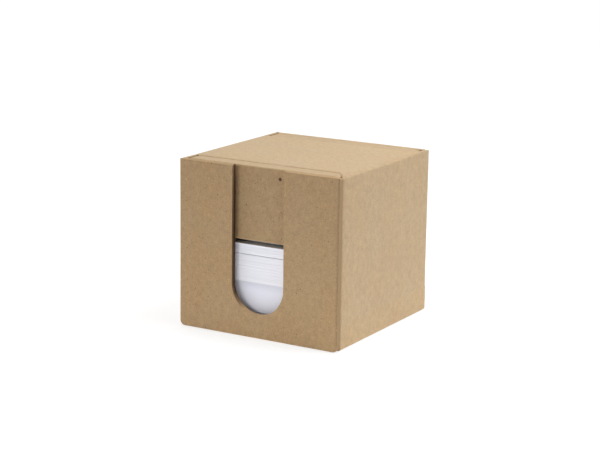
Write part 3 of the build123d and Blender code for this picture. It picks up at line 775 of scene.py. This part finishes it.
def hinge_rows(angles, lower=(), upper=()):
    """Rows of points, outer and inner, from the lower crease to the upper one."""
    rows_out, rows_in = [], []
    for z in lower:
        rows_out.append([(W, y, z) for y in columns(W)])
        rows_in.append([(W - SKIN, y, z) for y in columns(W)])
    for a in angles:
        x_ref = CREASE_X + 5.85 * math.cos(a)
        outs, ins = [], []
        for y in columns(x_ref):
            x, z = edge_point(a, y, 0.0)
            outs.append((x, y, z))
            x, z = edge_point(a, y, SKIN)
            ins.append((x, y, z))
        rows_out.append(outs)
        rows_in.append(ins)
    for x in upper:
        rows_out.append([(x, y, H) for y in columns(x)])
        rows_in.append([(x, y, H - SKIN) for y in columns(x)])
    outside, inside = np.array(rows_out, float), np.array(rows_in, float)
    # the two long edges are pressed thin by the cutting die
    for k, share in enumerate((0.86, 0.50, 0.16)):
        for j in (k, -1 - k):
            outside[:, j] += (inside[:, j] - outside[:, j]) * share
    return outside, inside


low_angles = [MID * k / 9 for k in range(1, 10)]
high_angles = [MID + (math.pi / 2 - MID) * k / 12 for k in range(0, 13)]
lower_z = joined(steps_between(RIGHT_JOIN, CREASE_Z - 3, 3.0), steps_between(CREASE_Z - 3, CREASE_Z, 0.25))
upper_x = joined(steps_between(CREASE_X - 0.2, CREASE_X - 3.2, 0.25), [TAPER_X - 4.0],
                 steps_between(TAPER_X - 4.0, 0.3, 3.0))
upper_x = sorted(set(round(v, 4) for v in upper_x + [TAPER_X]), reverse=True)

o_rows, i_rows = hinge_rows(low_angles, lower=lower_z)
at_mid = edge_point(MID, 0, 0)
lower_sheet = slab("hinge_sheet_lower", o_rows, i_rows, mats=SIDE_MATS, arris=0.035, body=None, weighted=False,
                   plain=lambda p: p.z < RIGHT_JOIN + 0.01 or (p.x < W - 0.02 and within(p) and p.z > CREASE_Z),
                   ply=lambda c: 0.5)
o_rows, i_rows = hinge_rows(high_angles, upper=upper_x)
upper_sheet = slab("hinge_sheet_upper", o_rows, i_rows, mats=SHEET_MATS, arris=0.035, body=None, weighted=False,
                   plain=lambda p: p.x > at_mid[0] - 0.05 and within(p),
                   ply=lambda c: (H - c[2]) / SKIN)


def blended(o, nodes):
    def place(p):
        return tuple((np.array(p) - CENTRE) / 1000)
    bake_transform(o)
    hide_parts(*nodes)


blended(lower_sheet,
        ("wrap_right", "hinge_strip"))
blended(upper_sheet,
        ("hinge_flap", "hinge_strip"))

# ---------------------------------------------------------------------------
# Pen box
# ---------------------------------------------------------------------------
PEN_TOP, PEN_LOW = H - 0.3, 44.65
PEN_Y0, PEN_Y1 = 4.25, D - 3.05
PEN_END = 81.8


def relief(x, z):
    """The open end's top edge is a little lower, to pass under the hinge sheet."""
    return 0.3 * max(0.0, min(1.0, (x - CREASE_X) / (PEN_END - CREASE_X))) * max(0.0, min(1.0, (z - PEN_TOP + 3) / 3))


def slope_x(z):
    return 2.4 + (PEN_TOP - z) * 13.8 / (PEN_TOP - PEN_LOW)


def side_section(r, n=7):
    """Distance in from the outer face and height, down the outer surface of a side panel."""
    top = [(r - r * math.sin(a), PEN_TOP - r + r * math.cos(a)) for a in np.linspace(0, math.pi / 2, n)]
    low = [(r - r * math.cos(a), PEN_LOW + r - r * math.sin(a)) for a in np.linspace(0, math.pi / 2, n)]
    mid = line((0, PEN_TOP - r), (0, PEN_LOW + r), 2.6)
    return chain([(BOARD, PEN_TOP)], top, mid, low, [(BOARD, PEN_LOW)])


def side_panel(name, y_outer, direction, node, radius):
    section = side_section(radius)
    rows_f, rows_b = [], []
    count = 32
    for d, z in section:
        x0 = slope_x(z)
        xs = [x0 + (PEN_END - x0) * k / count for k in range(count + 1)]
        rows_f.append([(x, y_outer + direction * d, z - relief(x, z)) for x in xs])
        rows_b.append([(x, y_outer + direction * BOARD, z) for x in xs])
    # the end rows are the seams with the top and the flag panel
    f, b = np.array(rows_f), np.array(rows_b)
    b[0, :, 2] = PEN_TOP - BOARD
    b[-1, :, 2] = PEN_LOW + BOARD
    lo, hi = PEN_LOW + BOARD, PEN_TOP - BOARD
    inner_z = np.linspace(hi, lo, len(section))
    for k, z in enumerate(inner_z):
        x0 = slope_x(z)
        b[k, :, 0] = [x0 + (PEN_END - x0) * q / count for q in range(count + 1)]
        b[k, :, 2] = z
    return slab(name, f, b, mats=PEN_MATS, arris=0.14, body="pen_box", stands_for=(node,),
                plain=lambda p: abs(p.y - (y_outer + direction * BOARD)) < 0.35 and (p.z > hi - 0.1 or p.z < lo + 0.1)
                and 4 < p.x < 79,
                ply=lambda c: abs(c[1] - y_outer) / BOARD)


side_panel("pen_box_front_panel", PEN_Y0, 1, "pen_front_panel", 1.05)
side_panel("pen_box_back_panel", PEN_Y1, -1, "pen_back_panel", 0.2)


def flat_panel(name, z_out, z_in, x_out, x_in, node):
    ys_in = joined(steps_between(PEN_Y0 + BOARD, PEN_Y1 - BOARD, 2.8))
    rows_f, rows_b = [], []
    count = 32
    for k in range(count + 1):
        s = k / count
        x = x_out[0] + (x_out[1] - x_out[0]) * s
        rows_f.append([(x, y, z_out - relief(x, z_out)) for y in ys_in])
        rows_b.append([(x_in[0] + (x_in[1] - x_in[0]) * s, y, z_in) for y in ys_in])
    return slab(name, rows_f, rows_b, mats=PEN_MATS, arris=0.14, body="pen_box", stands_for=(node,),
                plain=lambda p: p.y < PEN_Y0 + BOARD + 0.01 or p.y > PEN_Y1 - BOARD - 0.01,
                ply=lambda c: abs(c[2] - z_out) / BOARD)


flat_panel("pen_box_top_panel", PEN_TOP, PEN_TOP - BOARD,
           (slope_x(PEN_TOP), PEN_END), (slope_x(PEN_TOP - BOARD), PEN_END), "pen_top_panel")
flat_panel("pen_box_flag_panel", PEN_LOW, PEN_LOW + BOARD,
           (slope_x(PEN_LOW), PEN_END), (slope_x(PEN_LOW + BOARD), PEN_END), "flag_panel")

# sloped end
z_lo, z_hi = PEN_LOW + BOARD, PEN_TOP - BOARD
end_t = BOARD * math.hypot(1, 13.8 / (PEN_TOP - PEN_LOW))
ys_in = steps_between(PEN_Y0 + BOARD + 0.01, PEN_Y1 - BOARD - 0.01, 2.8)
rows_f = [[(slope_x(z), y, z) for y in ys_in] for z in np.linspace(z_hi, z_lo, 16)]
rows_b = [[(slope_x(z) + end_t, y, z) for y in ys_in] for z in np.linspace(z_hi, z_lo, 16)]
slab("pen_box_sloped_end", rows_f, rows_b, arris=0.0, body="pen_box", stands_for=("pen_end_panel",),
     ply=lambda c: 0.5)

for n in ("end_tab_top", "end_tab_front", "end_tab_back", "front_left_tab", "front_right_tab", "back_left_tab",
          "back_right_tab"):
    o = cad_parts[n]
    o.data.materials.clear()
    o.data.materials.append(m_cad)

# ---------------------------------------------------------------------------
# Memo sheets
# ---------------------------------------------------------------------------


def sheets(name, x0, y0, z0, z1, seed, node, thick=0.118, spread=0.05, lift=0.0, edge=None, gap=None):
    """Loose note sheets one on another, none of them exactly square with the next. gap is a height at which they stand apart."""
    rng = random.Random(seed)
    count = int((z1 - z0) / thick)
    pitch = (z1 - z0) / count
    bm = bmesh.new()
    cx, cy, half = x0 + 39.0, y0 + 39.0, 39.0 - 0.12
    drift_x, drift_y, turn = 0.0, 0.0, 0.0
    for k in range(count):
        drift_x = 0.86 * drift_x + rng.gauss(0, spread)
        drift_y = 0.86 * drift_y + rng.gauss(0, spread)
        turn = 0.9 * turn + rng.gauss(0, 0.0004)
        dx = max(-0.10, min(0.10, drift_x)) + rng.uniform(-0.015, 0.015)
        dy = max(-0.10, min(0.10, drift_y)) + rng.uniform(-0.015, 0.015)
        c, s = math.cos(turn), math.sin(turn)
        lo, hi = z0 + k * pitch + 0.002, z0 + (k + 1) * pitch - 0.004
        if gap is not None and lo < gap < hi + 0.12:
            continue
        cells = 6
        grid = []
        for zz in (lo, hi):
            layer = []
            for a in range(cells + 1):
                row = []
                for b in (0, 1):
                    px, py = half * (2 * a / cells - 1), half * (2 * b - 1)
                    sag = lift * (k / count) * math.cos(math.pi * (a / cells - 0.5)) * (1 - b)
                    row.append(bm.verts.new((cx + dx + px * c - py * s, cy + dy + px * s + py * c, zz + sag)))
                layer.append(row)
            grid.append(layer)
        low, top = grid
        made = []
        for a in range(cells):
            made.append(bm.faces.new([low[a][0], low[a][1], low[a + 1][1], low[a + 1][0]]))
            made.append(bm.faces.new([top[a][0], top[a + 1][0], top[a + 1][1], top[a][1]]))
            for f in made[-2:]:
                f.material_index = 0
            for b in (0, 1):
                q = [low[a][b], low[a + 1][b], top[a + 1][b], top[a][b]]
                f = bm.faces.new(q if b == 0 else q[::-1])
                f.material_index = 1
        for a in (0, cells):
            q = [low[a][0], top[a][0], top[a][1], low[a][1]]
            f = bm.faces.new(q if a == 0 else q[::-1])
            f.material_index = 1
    o = make(name, bm, [m_sheet_face, edge or m_sheet_edge], even=False, smooth=False, weighted=False)
    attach(o, "memo_tray")
    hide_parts(node)
    return o


sheets("memo_sheets_top_bundle", 3.6, 4.45, 37.0, 42.75, 5, "memo_sheets_top", gap=38.05)
sheets("memo_sheets_upper_bundle", 3.6, 4.45, 25.0, 36.998, 6, "memo_sheets_upper")
sheets("memo_sheets_lower_bundle", 4.0, 5.4, 1.68, 24.98, 7, "memo_sheets_lower", spread=0.015, edge=m_sheet_low)

# ---------------------------------------------------------------------------
# Index flags
# ---------------------------------------------------------------------------
FLAG_COLOURS = {
    "blue": (0.300, 0.470, 0.590),
    "green": (0.480, 0.730, 0.400),
    "yellow": (0.830, 0.740, 0.400),
    "pink": (0.700, 0.390, 0.520),
    "cream": (0.760, 0.600, 0.400),
}


def flag_pad(colour, index):
    rng = random.Random(40 + index)
    mat = flag("flag_" + colour, FLAG_COLOURS[colour], 74.3 - 29.0 + 13.0)
    bm = bmesh.new()
    y0 = 9.75 + 15.0 * index
    x0, x1 = 24.3, 74.3
    count = 20
    pitch = 1.5 / count
    for k in range(count):
        z1 = PEN_LOW - k * pitch - 0.002
        z0 = z1 - pitch + 0.006
        dx, dy = rng.uniform(0, 0.18), rng.uniform(-0.05, 0.05)
        cells = 8
        low, top = [], []
        for a in range(cells + 1):
            x = x0 + 0.2 + (x1 - x0 - 0.4) * a / cells - dx * 0.5
            low.append([bm.verts.new((x, y, z0)) for y in (y0 + 0.06 + dy, y0 + 11.94 + dy)])
            top.append([bm.verts.new((x, y, z1)) for y in (y0 + 0.06 + dy, y0 + 11.94 + dy)])
        for a in range(cells):
            bm.faces.new([low[a][0], low[a][1], low[a + 1][1], low[a + 1][0]])
            bm.faces.new([top[a][0], top[a + 1][0], top[a + 1][1], top[a][1]])
            bm.faces.new([low[a][0], low[a + 1][0], top[a + 1][0], top[a][0]])
            bm.faces.new([low[a + 1][1], low[a][1], top[a][1], top[a + 1][1]])
        bm.faces.new([low[0][0], top[0][0], top[0][1], low[0][1]])
        bm.faces.new([low[cells][1], top[cells][1], top[cells][0], low[cells][0]])
    o = make("index_flags_" + colour, bm, [mat], even=False, smooth=False, weighted=False)
    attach(o, "pen_box")
    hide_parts("flag_pad_" + colour)


for i, c in enumerate(FLAG_COLOURS):
    flag_pad(c, i)

# ---------------------------------------------------------------------------
# Floor
# ---------------------------------------------------------------------------
floor_mesh = bpy.data.meshes.new("floor")
s = 7.0
floor_mesh.from_pydata([(-s, -s, 0), (s, -s, 0), (s, s, 0), (-s, s, 0)], [], [(0, 1, 2, 3)])
floor = bpy.data.objects.new("floor", floor_mesh)
floor.location = (0, 0, -0.0002)
scene.collection.objects.link(floor)
ft = Tree("floor_white")
# the sweep photographs as plain white, with only a trace of contact shadow;
# near the object it also throws more light back than further out
f_at = ft.new("ShaderNodeTexCoord").outputs["Object"]
f_r = ft.new("ShaderNodeVectorMath", operation="LENGTH")
ft.put(f_at, f_r.inputs[0])
f_path = ft.new("ShaderNodeLightPath")
f_seen = ft.new("ShaderNodeBsdfDiffuse")
f_seen.inputs["Color"].default_value = (0.40, 0.40, 0.40, 1)
f_glow = ft.new("ShaderNodeEmission")
f_glow.inputs["Strength"].default_value = 0.69
f_camera = ft.new("ShaderNodeAddShader")
f_lit = ft.new("ShaderNodeBsdfDiffuse")
f_lit.inputs["Color"].default_value = (0.85, 0.85, 0.85, 1)
# painted light: near the object the floor glows for the light reaching the box, in place of bounce light
f_near = ft.new("ShaderNodeEmission")
ft.put(ft.ramp(f_r.outputs["Value"], 0.05, 0.26, 0.58, 0.0), f_near.inputs["Strength"])
f_other = ft.new("ShaderNodeAddShader")
f_mix = ft.new("ShaderNodeMixShader")
f_out = ft.new("ShaderNodeOutputMaterial")
ft.nt.links.new(f_seen.outputs[0], f_camera.inputs[0])
ft.nt.links.new(f_glow.outputs[0], f_camera.inputs[1])
ft.nt.links.new(f_lit.outputs[0], f_other.inputs[0])
ft.nt.links.new(f_near.outputs[0], f_other.inputs[1])
ft.nt.links.new(f_path.outputs["Is Camera Ray"], f_mix.inputs[0])
ft.nt.links.new(f_other.outputs[0], f_mix.inputs[1])
ft.nt.links.new(f_camera.outputs[0], f_mix.inputs[2])
ft.nt.links.new(f_mix.outputs[0], f_out.inputs[0])
floor_mesh.materials.append(ft.mat)
